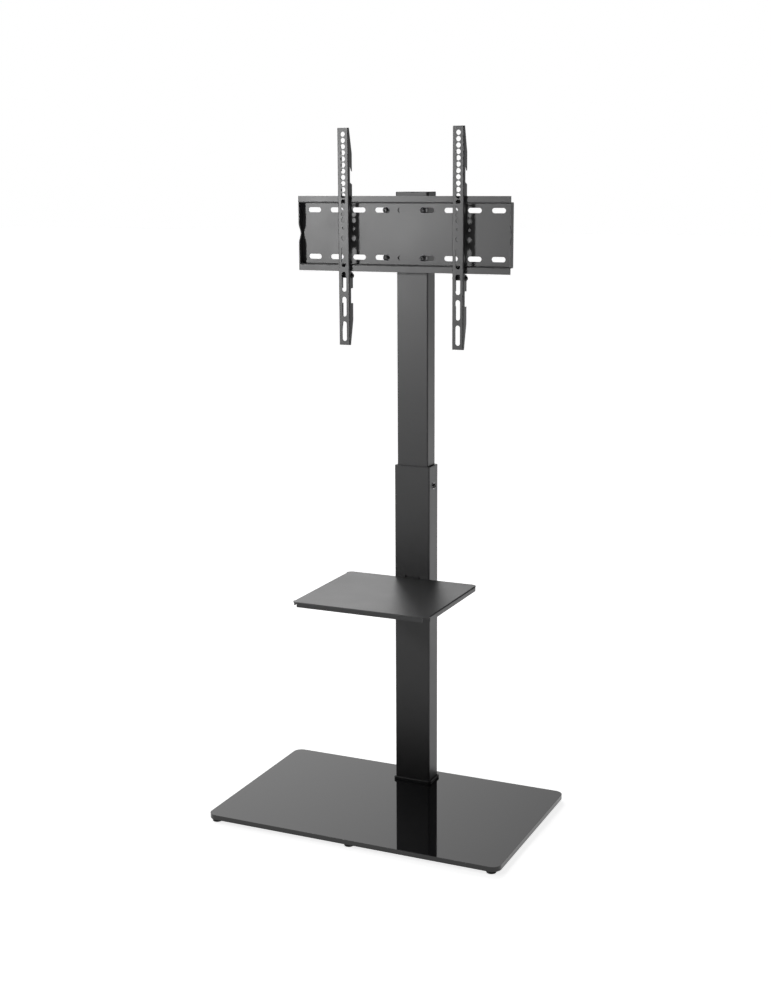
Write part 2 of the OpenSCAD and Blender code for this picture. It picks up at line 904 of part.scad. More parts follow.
// A side of an arm, in depth from its front and height above the plate's middle
module arm_side() {
    lip_end = plate_h / 2;
    bottom = arm_rise - arm_l;
    front = arm_standoff - hook_gap;
    behind = arm_standoff + plate_t + hook_gap;
    tooth = lip_end - lip_h + plate_t + tooth_gap;
    difference() {
        translate([0, bottom])
            square([arm_d, arm_l]);
        translate([0, arm_rise])
            end_taper();
        translate([0, bottom])
            mirror([0, 1])
                end_taper();
        translate([0, lip_end + seat_gap + upper_notch_gap + notch_l / 2])
            barbed_notch();
        translate([arm_neck_d, -lip_end - slot_drop - lower_notch_gap - notch_l])
            square([arm_d, notch_l]);
        translate([front, -lip_end - slot_drop])
            square([behind - front, 2 * lip_end + slot_drop + seat_gap]);
        translate([front, -lip_end - finger_drop])
            square([arm_d, lip_end + finger_drop + tooth]);
    }
}

// What the taper takes from the top of an arm's side
module end_taper() {
    polygon([[arm_end_d, 0], [arm_end_d, cut_past], [arm_d + cut_past, cut_past],
        [arm_d + cut_past, -arm_taper_l], [arm_d, -arm_taper_l]]);
}

// What the upper notch takes from the rear edge of an arm's side, about its middle
module barbed_notch() {
    half = notch_l / 2;
    polygon([[arm_neck_d, -half], [arm_neck_d, half], [arm_d - barb_root_d, half], [arm_d, half - barb_l],
        [arm_d + cut_past, half - barb_l], [arm_d + cut_past, -half - notch_slope],
        [arm_d, -half - notch_slope]]);
}

// The arm's cross-section: a web at the front and a flange on either side
module arm_section() {
    difference() {
        union() {
            translate([-arm_w / 2, arm_fold_r])
                square([arm_w, arm_d - arm_fold_r]);
            translate([0, arm_d / 2])
                square([arm_w - 2 * arm_fold_r, arm_d], center = true);
            for (x = [-1, 1])
                translate([x * (arm_w / 2 - arm_fold_r), arm_fold_r])
                    circle(arm_fold_r);
        }
        translate([-arm_w / 2 + arm_t, arm_t])
            square([arm_w - 2 * arm_t, arm_d]);
    }
}

module arm() {
    translate([0, arm_front_y, plate_z])
        difference() {
            intersection() {
                translate([0, 0, arm_rise - arm_l])
                    linear_extrude(arm_l)
                        arm_section();
                along_x(arm_w)
                    arm_side();
            }
            translate([0, 0, arm_rise])
                along_y(4 * arm_t)
                    arm_holes_shape();
            translate([0, arm_d - safety_edge, safety_z])
                along_x(2 * arm_w)
                    circle(safety_d / 2 + thread_gap);
        }
}

// The holes and long slots of an arm, measured down from its top
module arm_holes_shape() {
    for (i = [0:arm_holes - 1])
        translate([0, -arm_row_s - i * arm_hole_pitch])
            circle(arm_hole_d / 2);
    translate([0, -arm_small_s])
        circle(arm_small_d / 2);
    translate([0, -arm_single_s])
        circle(arm_hole_d / 2);
    for (i = [0:arm_slots - 1])
        translate([0, -arm_slot_s - i * arm_slot_pitch])
            rotate(90)
                slot_shape(arm_slot_l, arm_hole_d);
}

// Carries a piece to an arm: -1 is the left one and 1 the right one
module at_arm(side) {
    at_column()
        translate([side * arm_x, 0, 0])
            children();
}

module at_safety_screw(side) {
    at_arm(side)
        translate([0, arm_front_y + arm_d - safety_edge, plate_z + safety_z])
            rotate([0, 90, 0])
                children();
}

module arm_piece(side) {
    color(steel_colour)
        at_arm(side)
            arm();
}

module safety_screw(side) {
    grip = arm_w + safety_nut_t;
    color(screw_colour)
        at_safety_screw(side)
            translate([0, 0, arm_w / 2])
                button_screw(safety_d, safety_head_d, safety_head_h, grip);
}

module safety_nut(side) {
    color(screw_colour)
        at_safety_screw(side)
            translate([0, 0, -arm_w / 2 - safety_nut_t])
                nut(safety_nut_flats, safety_nut_t, safety_d);
}

// A block on the safety screw, between the arm's sides and under the plate's lower lip
module stop_block(side) {
    high = -plate_h / 2 - stop_gap - safety_z;
    color(plastic_colour)
        at_arm(side)
            translate([0, arm_front_y + arm_d - safety_edge, plate_z + safety_z])
                along_x(arm_w - 2 * arm_t)
                    difference() {
                        translate([-stop_d / 2, -stop_below])
                            square([stop_d, stop_below + high]);
                        circle(safety_d / 2 + thread_gap);
                    }
}

base_glass();
foot(-1, -1);  // foot_front_left
foot(0, -1);  // foot_front_middle
foot(1, -1);  // foot_front_right
foot(-1, 1);  // foot_back_left
foot(0, 1);  // foot_back_middle
foot(1, 1);  // foot_back_right
under_plate();
base_bolts();
glass_bushes();
column_foot_plate();
base_collar();
lower_column();
glide_sleeve();
lock_screw();
lock_nut();
shelf();
shelf_screws();
shelf_nuts();
upper_column();
column_glide();
column_cap();
head_bracket();
mount_plate();
plate_bolts();
plate_washers();
plate_nuts();
arm_piece(-1);  // arm_left
arm_piece(1);  // arm_right
safety_screw(-1);  // arm_left_screw
safety_screw(1);  // arm_right_screw
safety_nut(-1);  // arm_left_nut
safety_nut(1);  // arm_right_nut
stop_block(-1);  // arm_left_stop
stop_block(1);  // arm_right_stop
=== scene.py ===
# Floor stand for a flat screen: glass base, telescoping column, shelf, slotted plate and two arms.
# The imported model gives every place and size. This script gives each piece its surface.
import math

import bpy
from mathutils import Matrix, Vector


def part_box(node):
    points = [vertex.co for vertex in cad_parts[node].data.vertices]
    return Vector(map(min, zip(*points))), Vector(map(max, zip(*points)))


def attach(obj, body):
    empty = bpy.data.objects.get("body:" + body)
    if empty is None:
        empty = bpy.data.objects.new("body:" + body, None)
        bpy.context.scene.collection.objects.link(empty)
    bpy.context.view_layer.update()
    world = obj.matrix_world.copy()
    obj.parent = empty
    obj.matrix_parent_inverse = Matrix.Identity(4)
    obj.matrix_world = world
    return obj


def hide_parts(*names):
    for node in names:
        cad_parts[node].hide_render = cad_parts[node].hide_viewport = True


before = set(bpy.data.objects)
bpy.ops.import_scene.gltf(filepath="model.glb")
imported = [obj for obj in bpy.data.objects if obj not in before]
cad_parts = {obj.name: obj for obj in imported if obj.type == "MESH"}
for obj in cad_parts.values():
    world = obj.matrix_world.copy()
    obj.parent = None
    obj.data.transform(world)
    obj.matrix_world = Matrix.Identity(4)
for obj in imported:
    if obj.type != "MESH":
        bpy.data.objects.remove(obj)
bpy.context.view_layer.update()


# Camera
# It stands before the object and to its right, a little lower than the object's top, and looks slightly
# down on it.
scene = bpy.context.scene
camera_data = bpy.data.cameras.new("camera")
camera_data.sensor_width = 36
camera_data.lens = 55.49
camera_yaw = math.radians(24.45)
camera_pitch = math.radians(11.96)
camera_roll = math.radians(-0.32)
look = Vector((
    -math.sin(camera_yaw) * math.cos(camera_pitch),
    math.cos(camera_yaw) * math.cos(camera_pitch),
    -math.sin(camera_pitch),
))
level_right = Vector((math.cos(camera_yaw), math.sin(camera_yaw), 0))
level_up = level_right.cross(look)
right = level_right * math.cos(camera_roll) + level_up * math.sin(camera_roll)
up = level_up * math.cos(camera_roll) - level_right * math.sin(camera_roll)
camera = bpy.data.objects.new("camera", camera_data)
turn = Matrix((right, up, -look)).transposed().to_4x4()
camera_place = Vector((1.2543, -2.7647, 1.3091))
camera.matrix_world = Matrix.Translation(camera_place) @ turn
scene.collection.objects.link(camera)
scene.camera = camera


# Studio
# A white floor and a white surround. A small lamp on the left front gives the shapes their shadows, and
# wider lamps behind, above and on the right fill the rest. Two soft screens in the surround light the
# object and show in its gloss. The floor keeps the object's shadow.
def add_node(tree, kind, **values):
    node = tree.nodes.new(kind)
    for name, value in values.items():
        setattr(node, name, value)
    return node


def new_material(name):
    material = bpy.data.materials.new(name)
    material.use_nodes = True
    return material, material.node_tree, material.node_tree.nodes["Principled BSDF"]


scene.view_settings.view_transform = "Standard"

floor_white, tree, surface = new_material("floor_white")
surface.inputs["Base Color"].default_value = (0.80, 0.80, 0.80, 1)
surface.inputs["Roughness"].default_value = 0.9
surface.inputs["Specular IOR Level"].default_value = 0.1
path = add_node(tree, "ShaderNodeLightPath")
seen = add_node(tree, "ShaderNodeMath", operation="MAXIMUM")
seen_through = add_node(tree, "ShaderNodeMath", operation="MAXIMUM")
tree.links.new(path.outputs["Is Camera Ray"], seen.inputs[0])
tree.links.new(path.outputs["Is Glossy Ray"], seen.inputs[1])
tree.links.new(seen.outputs[0], seen_through.inputs[0])
tree.links.new(path.outputs["Is Transmission Ray"], seen_through.inputs[1])
glow = add_node(tree, "ShaderNodeEmission")
glow.inputs["Strength"].default_value = 0.82
no_glow = add_node(tree, "ShaderNodeEmission")
no_glow.inputs["Strength"].default_value = 0.0
glow_mix = add_node(tree, "ShaderNodeMixShader")
tree.links.new(seen_through.outputs[0], glow_mix.inputs[0])
tree.links.new(no_glow.outputs[0], glow_mix.inputs[1])
tree.links.new(glow.outputs[0], glow_mix.inputs[2])
lit_floor = add_node(tree, "ShaderNodeAddShader")
tree.links.new(surface.outputs[0], lit_floor.inputs[0])
tree.links.new(glow_mix.outputs[0], lit_floor.inputs[1])
tree.links.new(lit_floor.outputs[0], tree.nodes["Material Output"].inputs["Surface"])

bpy.ops.object.select_all(action="DESELECT")
bpy.ops.mesh.primitive_plane_add(size=60, location=(0, 0, 0))
floor = bpy.context.object
floor.name = "studio_floor"
floor.data.materials.append(floor_white)

world = bpy.data.worlds.new("studio_surround")
scene.world = world
world.use_nodes = True
tree = world.node_tree
tree.nodes.clear()
direction = add_node(tree, "ShaderNodeTexCoord")


# One soft screen of the surround: brightest straight along aim, and down to its dark value where the
# cosine of the angle from aim is edge or less
def add_screen(aim, edge, dark, light):
    towards = add_node(tree, "ShaderNodeVectorMath", operation="DOT_PRODUCT")
    towards.inputs[1].default_value = aim
    tree.links.new(direction.outputs["Generated"], towards.inputs[0])
    screen = add_node(tree, "ShaderNodeMapRange", interpolation_type="SMOOTHSTEP")
    screen.inputs["From Min"].default_value = edge
    screen.inputs["From Max"].default_value = 1.0
    screen.inputs["To Min"].default_value = dark
    screen.inputs["To Max"].default_value = light
    tree.links.new(towards.outputs["Value"], screen.inputs["Value"])
    return screen


left_screen = add_screen(aim=(-0.770, 0.539, 0.342), edge=0.60, dark=0.04, light=1.45)
right_screen = add_screen(aim=(0.46, 0.87, -0.14), edge=0.85, dark=0.0, light=0.55)
both_screens = add_node(tree, "ShaderNodeMath", operation="ADD")
tree.links.new(left_screen.outputs[0], both_screens.inputs[0])
tree.links.new(right_screen.outputs[0], both_screens.inputs[1])
soft_light = add_node(tree, "ShaderNodeBackground")
soft_light.inputs["Color"].default_value = (1, 1, 1, 1)
tree.links.new(both_screens.outputs[0], soft_light.inputs["Strength"])
white = add_node(tree, "ShaderNodeBackground")
white.inputs["Color"].default_value = (1, 1, 1, 1)
white.inputs["Strength"].default_value = 1.0
path = add_node(tree, "ShaderNodeLightPath")
camera_mix = add_node(tree, "ShaderNodeMixShader")
tree.links.new(path.outputs["Is Camera Ray"], camera_mix.inputs[0])
tree.links.new(soft_light.outputs[0], camera_mix.inputs[1])
tree.links.new(white.outputs[0], camera_mix.inputs[2])
world_out = add_node(tree, "ShaderNodeOutputWorld")
tree.links.new(camera_mix.outputs[0], world_out.inputs["Surface"])


def add_lamp(name, place, aim, size, power, spread=180):
    lamp_data = bpy.data.lights.new(name, "AREA")
    lamp_data.shape = "DISK"
    lamp_data.size = size
    lamp_data.energy = power
    lamp_data.spread = math.radians(spread)
    lamp = bpy.data.objects.new(name, lamp_data)
    lamp.location = place
    lamp.rotation_euler = (Vector(aim) - Vector(place)).to_track_quat("-Z", "Y").to_euler()
    scene.collection.objects.link(lamp)


add_lamp("key_lamp", place=(-1.15, -1.72, 1.34), aim=(0, 0.09, 1.24), size=0.30, power=3.75, spread=62)
add_lamp("back_fill", place=(-1.50, 2.90, 2.70), aim=(0, 0, 0.50), size=1.00, power=22)
add_lamp("top_lamp", place=(-1.25, -0.85, 3.00), aim=(0, -0.10, 0.60), size=0.80, power=10)
add_lamp("right_fill", place=(1.70, 2.00, 0.02), aim=(0, 0.15, 0.20), size=1.00, power=7)


# Glass base
# One panel of dark toughened glass. Its corners are ground round and its edges are polished to a small
# bevel. Four drilled holes take the bolts of the column.
MM = 0.001


def pick(piece):
    bpy.ops.object.select_all(action="DESELECT")
    piece.select_set(True)
    bpy.context.view_layer.objects.active = piece


def apply_modifier(piece, kind, **settings):
    pick(piece)
    modifier = piece.modifiers.new(kind.lower(), kind)
    for name, value in settings.items():
        setattr(modifier, name, value)
    bpy.ops.object.modifier_apply(modifier=modifier.name)


def settle(piece):
    pick(piece)
    bpy.ops.object.transform_apply(location=True, rotation=True, scale=True)


def close_up(piece):
    pick(piece)
    bpy.ops.object.mode_set(mode="EDIT")
    bpy.ops.mesh.select_all(action="SELECT")
    bpy.ops.mesh.remove_doubles(threshold=0.002 * MM)
    bpy.ops.mesh.normals_make_consistent(inside=False)
    bpy.ops.object.mode_set(mode="OBJECT")


def cut(piece, tool, operation="DIFFERENCE"):
    apply_modifier(piece, "BOOLEAN", object=tool, operation=operation, solver="EXACT")
    bpy.data.objects.remove(tool)
    close_up(piece)


def smooth(piece, angle=35):
    pick(piece)
    bpy.ops.object.shade_smooth_by_angle(angle=math.radians(angle))
    apply_modifier(piece, "WEIGHTED_NORMAL", keep_sharp=True, weight=90)


def dress(piece, material, slot, body, *nodes):
    piece.data.materials.clear()
    piece.data.materials.append(material)
    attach(piece, body)
    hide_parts(*nodes)


glass_black, tree, surface = new_material("glass_black")
surface.inputs["Base Color"].default_value = (0.012, 0.012, 0.013, 1)
surface.inputs["IOR"].default_value = 1.52
place = add_node(tree, "ShaderNodeTexCoord")
smears = add_node(tree, "ShaderNodeTexNoise")
smears.inputs["Scale"].default_value = 9
smears.inputs["Detail"].default_value = 5
smears.inputs["Distortion"].default_value = 0.8
tree.links.new(place.outputs["Object"], smears.inputs["Vector"])
smear_roughness = add_node(tree, "ShaderNodeMapRange")
smear_roughness.inputs["From Min"].default_value = 0.35
smear_roughness.inputs["From Max"].default_value = 0.75
smear_roughness.inputs["To Min"].default_value = 0.015
smear_roughness.inputs["To Max"].default_value = 0.06
tree.links.new(smears.outputs[0], smear_roughness.inputs["Value"])
tree.links.new(smear_roughness.outputs[0], surface.inputs["Roughness"])

low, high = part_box("base_glass")
GLASS_CORNER = 19 * MM
GLASS_BEVEL = 1.4 * MM
bpy.ops.object.select_all(action="DESELECT")
bpy.ops.mesh.primitive_cube_add(size=1, location=(low + high) / 2, scale=high - low)
glass = bpy.context.object
glass.name = "glass_panel"
settle(glass)
bpy.ops.object.mode_set(mode="EDIT")
bpy.ops.mesh.select_mode(type="EDGE")
bpy.ops.mesh.select_all(action="DESELECT")
bpy.ops.object.mode_set(mode="OBJECT")
for edge in glass.data.edges:
    ends = [glass.data.vertices[i].co for i in edge.vertices]
    edge.select = abs(ends[0].z - ends[1].z) > GLASS_CORNER / 4
bpy.ops.object.mode_set(mode="EDIT")
bpy.ops.mesh.bevel(offset=GLASS_CORNER, segments=16, affect="EDGES")
bpy.ops.object.mode_set(mode="OBJECT")
BUSH_HOLE_R = 6.15 * MM
DRILL_L = 50 * MM
DRILL_MIDDLE_Z = 10 * MM
low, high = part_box("base_bolts")
BASE_HEAD_R = 8 * MM
base_bolt_places = [
    (x, y)
    for x in (low.x + BASE_HEAD_R, high.x - BASE_HEAD_R)
    for y in (low.y + BASE_HEAD_R, high.y - BASE_HEAD_R)
]
for x, y in base_bolt_places:
    bpy.ops.object.select_all(action="DESELECT")
    bpy.ops.mesh.primitive_cylinder_add(
        vertices=32, radius=BUSH_HOLE_R, depth=DRILL_L, location=(x, y, DRILL_MIDDLE_Z),
    )
    cut(glass, bpy.context.object)
apply_modifier(
    glass, "BEVEL", width=GLASS_BEVEL, segments=5, limit_method="ANGLE", angle_limit=math.radians(50),
)
smooth(glass, angle=30)
dress(glass, glass_black, "glass_black", "base", "base_glass")


# Feet
# Six round rubber feet, glued under the edges of the glass. Each has a rounded tread and a shallow
# hollow in its underside, as a moulded foot has.


# A round piece about the upright axis. Each step of its profile is a radius and a height.
def turned(name, steps, sides=40):
    radius, height = steps[0]
    bpy.ops.object.select_all(action="DESELECT")
    bpy.ops.mesh.primitive_circle_add(
        vertices=sides, radius=radius, fill_type="NGON", location=(0, 0, height),
    )
    piece = bpy.context.object
    piece.name = name
    bpy.ops.object.mode_set(mode="EDIT")
    bpy.ops.mesh.select_mode(type="FACE")
    bpy.ops.mesh.select_all(action="SELECT")
    for next_radius, next_height in steps[1:]:
        bpy.ops.mesh.extrude_region_move(TRANSFORM_OT_translate={"value": (0, 0, next_height - height)})
        share = next_radius / radius
        bpy.ops.transform.resize(value=(share, share, 1))
        radius, height = next_radius, next_height
    bpy.ops.mesh.select_all(action="SELECT")
    bpy.ops.mesh.normals_make_consistent(inside=False)
    bpy.ops.object.mode_set(mode="OBJECT")
    settle(piece)
    return piece


def copy_to(piece, name, place):
    copied = bpy.data.objects.new(name, piece.data.copy())
    scene.collection.objects.link(copied)
    copied.location = place
    settle(copied)
    return copied


rubber_black, tree, surface = new_material("rubber_black")
surface.inputs["Specular IOR Level"].default_value = 0.35
place = add_node(tree, "ShaderNodeTexCoord")
grit = add_node(tree, "ShaderNodeTexNoise")
grit.inputs["Scale"].default_value = 1400
grit.inputs["Detail"].default_value = 3
tree.links.new(place.outputs["Object"], grit.inputs["Vector"])
dust = add_node(tree, "ShaderNodeTexNoise")
dust.inputs["Scale"].default_value = 120
dust.inputs["Detail"].default_value = 4
tree.links.new(place.outputs["Object"], dust.inputs["Vector"])
rubber_colour = add_node(tree, "ShaderNodeValToRGB")
rubber_colour.color_ramp.elements[0].position = 0.4
rubber_colour.color_ramp.elements[0].color = (0.040, 0.040, 0.040, 1)
rubber_colour.color_ramp.elements[1].position = 0.8
rubber_colour.color_ramp.elements[1].color = (0.085, 0.085, 0.082, 1)
tree.links.new(dust.outputs[0], rubber_colour.inputs[0])
tree.links.new(rubber_colour.outputs[0], surface.inputs["Base Color"])
rubber_roughness = add_node(tree, "ShaderNodeMapRange")
rubber_roughness.inputs["To Min"].default_value = 0.65
rubber_roughness.inputs["To Max"].default_value = 0.9
tree.links.new(dust.outputs[0], rubber_roughness.inputs["Value"])
tree.links.new(rubber_roughness.outputs[0], surface.inputs["Roughness"])
rubber_bump = add_node(tree, "ShaderNodeBump")
rubber_bump.inputs["Distance"].default_value = 0.06 * MM
tree.links.new(grit.outputs[0], rubber_bump.inputs["Height"])
tree.links.new(rubber_bump.outputs[0], surface.inputs["Normal"])

FOOT_R = 10 * MM
FOOT_H = 6 * MM
foot = turned("foot", [
    (FOOT_R * 0.45, FOOT_H * 0.22),
    (FOOT_R * 0.62, FOOT_H * 0.05),
    (FOOT_R * 0.70, 0),
    (FOOT_R * 0.85, 0),
    (FOOT_R * 0.93, FOOT_H * 0.07),
    (FOOT_R * 0.98, FOOT_H * 0.15),
    (FOOT_R, FOOT_H * 0.28),
    (FOOT_R, FOOT_H * 0.93),
    (FOOT_R * 0.97, FOOT_H),
])
for side in ("front", "back"):
    for across in ("left", "middle", "right"):
        node = "foot_" + side + "_" + across
        low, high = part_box(node)
        piece = copy_to(foot, "rubber_" + node, ((low.x + high.x) / 2, (low.y + high.y) / 2, low.z))
        smooth(piece, angle=40)
        dress(piece, rubber_black, "rubber_black", "base", node)
bpy.data.objects.remove(foot)


# Foot of the column
# A steel plate under the glass and four button head bolts clamp the glass to a thick plate that is
# welded into the column. Plastic bushes keep the bolts off the glass.
def piece_from_model(name, node):
    piece = bpy.data.objects.new(name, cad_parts[node].data.copy())
    scene.collection.objects.link(piece)
    pick(piece)
    bpy.ops.object.mode_set(mode="EDIT")
    bpy.ops.mesh.select_all(action="SELECT")
    bpy.ops.mesh.remove_doubles(threshold=0.005 * MM)
    bpy.ops.mesh.normals_make_consistent(inside=False)
    bpy.ops.mesh.dissolve_limited(angle_limit=math.radians(0.5))
    bpy.ops.object.mode_set(mode="OBJECT")
    bpy.ops.mesh.customdata_custom_splitnormals_clear()
    return piece


def soften(piece, width, segments=2, angle=40):
    apply_modifier(
        piece, "BEVEL", width=width, segments=segments, limit_method="ANGLE",
        angle_limit=math.radians(angle), use_clamp_overlap=True,
    )
    smooth(piece, angle)


def socket(group, name, kind, way="INPUT", value=None):
    made = group.interface.new_socket(name=name, in_out=way, socket_type=kind)
    if value is not None:
        made.default_value = value


# Painted highlight along the edges, with a little rubbed coat: a mask from the angle between the true
# normal and one rounded over the edge
edge_line = bpy.data.node_groups.new("edge_line", "ShaderNodeTree")
socket(edge_line, "Width", "NodeSocketFloat", value=0.0008)
socket(edge_line, "Amount", "NodeSocketFloat", value=1.0)
socket(edge_line, "Mask", "NodeSocketFloat", way="OUTPUT")
group_in = add_node(edge_line, "NodeGroupInput")
group_out = add_node(edge_line, "NodeGroupOutput")
rounded = add_node(edge_line, "ShaderNodeBevel", samples=4)
edge_line.links.new(group_in.outputs["Width"], rounded.inputs["Radius"])
true_normal = add_node(edge_line, "ShaderNodeNewGeometry")
facing = add_node(edge_line, "ShaderNodeVectorMath", operation="DOT_PRODUCT")
edge_line.links.new(rounded.outputs[0], facing.inputs[0])
edge_line.links.new(true_normal.outputs["Normal"], facing.inputs[1])
turned_away = add_node(edge_line, "ShaderNodeMapRange")
turned_away.inputs["From Min"].default_value = 0.995
turned_away.inputs["From Max"].default_value = 0.80
edge_line.links.new(facing.outputs["Value"], turned_away.inputs["Value"])
amount = add_node(edge_line, "ShaderNodeMath", operation="MULTIPLY", use_clamp=True)
edge_line.links.new(turned_away.outputs[0], amount.inputs[0])
edge_line.links.new(group_in.outputs["Amount"], amount.inputs[1])
edge_line.links.new(amount.outputs[0], group_out.inputs["Mask"])

# Grain of a surface: fine bumps, and slow patches that change colour and gloss a little. Where the edge
# mask is set it lays on the Edge colour, a painted highlight with a little rubbed coat.
grain = bpy.data.node_groups.new("grain", "ShaderNodeTree")
socket(grain, "Fine Scale", "NodeSocketFloat", value=1800.0)
socket(grain, "Patch Scale", "NodeSocketFloat", value=14.0)
socket(grain, "Dark", "NodeSocketColor", value=(0.1, 0.1, 0.1, 1))
socket(grain, "Light", "NodeSocketColor", value=(0.12, 0.12, 0.12, 1))
socket(grain, "Edge", "NodeSocketColor", value=(0.2, 0.2, 0.2, 1))
socket(grain, "Edge Mask", "NodeSocketFloat", value=0.0)
socket(grain, "Roughness Low", "NodeSocketFloat", value=0.4)
socket(grain, "Roughness High", "NodeSocketFloat", value=0.5)
socket(grain, "Color", "NodeSocketColor", way="OUTPUT")
socket(grain, "Roughness", "NodeSocketFloat", way="OUTPUT")
socket(grain, "Height", "NodeSocketFloat", way="OUTPUT")
group_in = add_node(grain, "NodeGroupInput")
group_out = add_node(grain, "NodeGroupOutput")
place = add_node(grain, "ShaderNodeTexCoord")
fine = add_node(grain, "ShaderNodeTexNoise")
fine.inputs["Detail"].default_value = 2
grain.links.new(place.outputs["Object"], fine.inputs["Vector"])
grain.links.new(group_in.outputs["Fine Scale"], fine.inputs["Scale"])
patches = add_node(grain, "ShaderNodeTexNoise")
patches.inputs["Detail"].default_value = 4
grain.links.new(place.outputs["Object"], patches.inputs["Vector"])
grain.links.new(group_in.outputs["Patch Scale"], patches.inputs["Scale"])
speck = add_node(grain, "ShaderNodeMath", operation="MULTIPLY_ADD")
speck.inputs[1].default_value = 0.45
grain.links.new(fine.outputs[0], speck.inputs[0])
patch_share = add_node(grain, "ShaderNodeMath", operation="MULTIPLY")
patch_share.inputs[1].default_value = 0.55
grain.links.new(patches.outputs[0], patch_share.inputs[0])
grain.links.new(patch_share.outputs[0], speck.inputs[2])
coat = add_node(grain, "ShaderNodeMix", data_type="RGBA")
grain.links.new(speck.outputs[0], coat.inputs["Factor"])
grain.links.new(group_in.outputs["Dark"], coat.inputs[6])
grain.links.new(group_in.outputs["Light"], coat.inputs[7])
# Painted highlight along the edges, with a little rubbed coat: the Edge colour over the coat where the mask
# is set
edge_rub_and_highlight = add_node(grain, "ShaderNodeMix", data_type="RGBA")
grain.links.new(group_in.outputs["Edge Mask"], edge_rub_and_highlight.inputs["Factor"])
grain.links.new(coat.outputs[2], edge_rub_and_highlight.inputs[6])
grain.links.new(group_in.outputs["Edge"], edge_rub_and_highlight.inputs[7])
grain.links.new(edge_rub_and_highlight.outputs[2], group_out.inputs["Color"])
gloss = add_node(grain, "ShaderNodeMapRange")
gloss.inputs["From Min"].default_value = 0.3
gloss.inputs["From Max"].default_value = 0.7
grain.links.new(speck.outputs[0], gloss.inputs["Value"])
grain.links.new(group_in.outputs["Roughness Low"], gloss.inputs["To Min"])
grain.links.new(group_in.outputs["Roughness High"], gloss.inputs["To Max"])
grain.links.new(gloss.outputs[0], group_out.inputs["Roughness"])
grain.links.new(fine.outputs[0], group_out.inputs["Height"])


def grained(
    name, dark, light, edge, roughness, fine_scale, bump, edge_width=0.8 * MM, edge_amount=0.5, metal=0.0,
):
    material, tree, surface = new_material(name)
    surface.inputs["Metallic"].default_value = metal
    lines = add_node(tree, "ShaderNodeGroup", node_tree=edge_line)
    lines.inputs["Width"].default_value = edge_width
    lines.inputs["Amount"].default_value = edge_amount
    skin = add_node(tree, "ShaderNodeGroup", node_tree=grain)
    skin.inputs["Fine Scale"].default_value = fine_scale
    skin.inputs["Dark"].default_value = dark + (1,)
    skin.inputs["Light"].default_value = light + (1,)
    skin.inputs["Edge"].default_value = edge + (1,)
    skin.inputs["Roughness Low"].default_value = roughness[0]
    skin.inputs["Roughness High"].default_value = roughness[1]
    tree.links.new(lines.outputs["Mask"], skin.inputs["Edge Mask"])
    tree.links.new(skin.outputs["Color"], surface.inputs["Base Color"])
    tree.links.new(skin.outputs["Roughness"], surface.inputs["Roughness"])
    relief = add_node(tree, "ShaderNodeBump")
    relief.inputs["Distance"].default_value = bump
    tree.links.new(skin.outputs["Height"], relief.inputs["Height"])
    tree.links.new(relief.outputs[0], surface.inputs["Normal"])
    return material


# In each material below, the Edge colour is a painted highlight along the edges, with a little rubbed coat;
# on the washers it gives their light rims.
powder_black = grained(
    "powder_black", dark=(0.034, 0.034, 0.035), light=(0.050, 0.050, 0.051), edge=(0.10, 0.10, 0.102),
    roughness=(0.40, 0.48), fine_scale=1900, bump=0.03 * MM, edge_amount=0.45,
)
plastic_black = grained(
    "plastic_black", dark=(0.019, 0.019, 0.020), light=(0.031, 0.031, 0.032), edge=(0.13, 0.13, 0.13),
    roughness=(0.44, 0.54), fine_scale=1300, bump=0.02 * MM,
)
screw_black = grained(
    "screw_black", dark=(0.010, 0.010, 0.011), light=(0.020, 0.020, 0.021), edge=(0.10, 0.10, 0.10),
    roughness=(0.30, 0.42), fine_scale=700, bump=0.01 * MM, edge_width=0.4 * MM, metal=0.3,
)
washer_black = grained(
    "washer_black", dark=(0.055, 0.055, 0.058), light=(0.085, 0.085, 0.088), edge=(0.22, 0.22, 0.22),
    roughness=(0.36, 0.46), fine_scale=700, bump=0.01 * MM, edge_width=0.4 * MM, metal=0.9,
)
zinc = grained(
    "zinc", dark=(0.48, 0.48, 0.49), light=(0.62, 0.62, 0.63), edge=(0.75, 0.75, 0.76),
    roughness=(0.25, 0.42), fine_scale=900, bump=0.01 * MM, edge_width=0.4 * MM, edge_amount=0.4, metal=1.0,
)

piece = piece_from_model("under_glass_plate", "under_plate")
soften(piece, 0.4 * MM)
dress(piece, powder_black, "steel_black", "base", "under_plate")

piece = piece_from_model("welded_foot_plate", "column_foot_plate")
soften(piece, 0.3 * MM)
dress(piece, powder_black, "steel_black", "base", "column_foot_plate")

piece = piece_from_model("bolt_bushes", "glass_bushes")
soften(piece, 0.2 * MM)
dress(piece, plastic_black, "plastic_black", "base", "glass_bushes")


